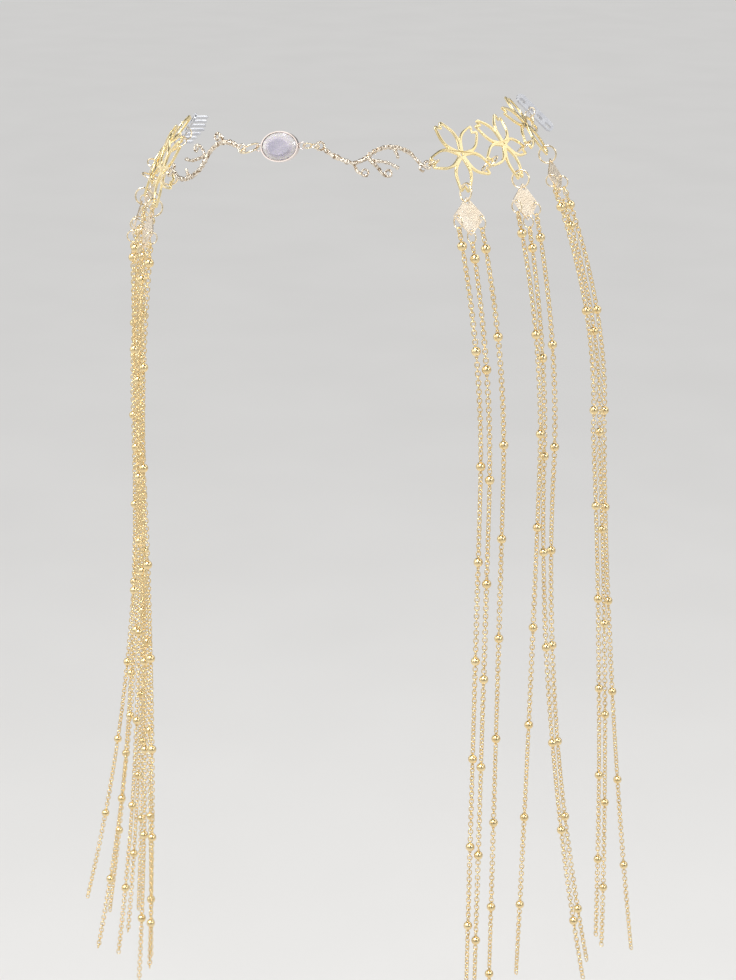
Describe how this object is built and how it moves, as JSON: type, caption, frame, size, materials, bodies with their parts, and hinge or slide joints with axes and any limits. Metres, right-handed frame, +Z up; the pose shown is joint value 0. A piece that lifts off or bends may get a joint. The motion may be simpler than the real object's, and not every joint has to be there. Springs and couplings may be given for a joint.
{
  "type": "forehead chain with tassels and end clips",
  "caption": "Forehead chain with an oval stone, branch castings, pierced flowers, bead-chain tassels and comb clips, held in its worn form.",
  "frame": {"origin": "middle of the head opening at the height where the chain is fitted", "axes": "+Z up, -Y towards the front where the stone is, +X towards the wearer's left side"},
  "size_m": [0.2676, 0.1218, 0.4068],
  "materials": {
    "bright_gold": "polished gold plating",
    "champagne_gold": "pale gold plating over a knobbly or hammered casting",
    "chain_gold": "polished gold plating",
    "silver_steel": "bright nickel-coloured sheet",
    "stone": "polished, milky and translucent"
  },
  "bodies": {
    "root": {"stone": "stone", "stone_setting": "bright_gold", "stone_ring_right": "bright_gold", "stone_ring_left": "bright_gold", "vine_right": "champagne_gold", "vine_ring_right": "bright_gold", "clip_right": "silver_steel", "clip_rings_right": "bright_gold", "link_ring_right_1": "bright_gold", "link_ring_right_2": "bright_gold", "flower_right_1": "bright_gold", "plate_right_1": "champagne_gold", "plate_rings_right_1": "bright_gold", "tassel_right_1a": "chain_gold", "tassel_right_1b": "chain_gold", "tassel_right_1c": "chain_gold", "flower_right_2": "bright_gold", "plate_right_2": "champagne_gold", "plate_rings_right_2": "bright_gold", "tassel_right_2a": "chain_gold", "tassel_right_2b": "chain_gold", "tassel_right_2c": "chain_gold", "flower_right_3": "bright_gold", "plate_right_3": "champagne_gold", "plate_rings_right_3": "bright_gold", "tassel_right_3a": "chain_gold", "tassel_right_3b": "chain_gold", "tassel_right_3c": "chain_gold", "vine_left": "champagne_gold", "vine_ring_left": "bright_gold", "clip_left": "silver_steel", "clip_rings_left": "bright_gold", "link_ring_left_1": "bright_gold", "link_ring_left_2": "bright_gold", "flower_left_1": "bright_gold", "plate_left_1": "champagne_gold", "plate_rings_left_1": "bright_gold", "tassel_left_1a": "chain_gold", "tassel_left_1b": "chain_gold", "tassel_left_1c": "chain_gold", "flower_left_2": "bright_gold", "plate_left_2": "champagne_gold", "plate_rings_left_2": "bright_gold", "tassel_left_2a": "chain_gold", "tassel_left_2b": "chain_gold", "tassel_left_2c": "chain_gold", "flower_left_3": "bright_gold", "plate_left_3": "champagne_gold", "plate_rings_left_3": "bright_gold", "tassel_left_3a": "chain_gold", "tassel_left_3b": "chain_gold", "tassel_left_3c": "chain_gold"}
  },
  "joints": []
}
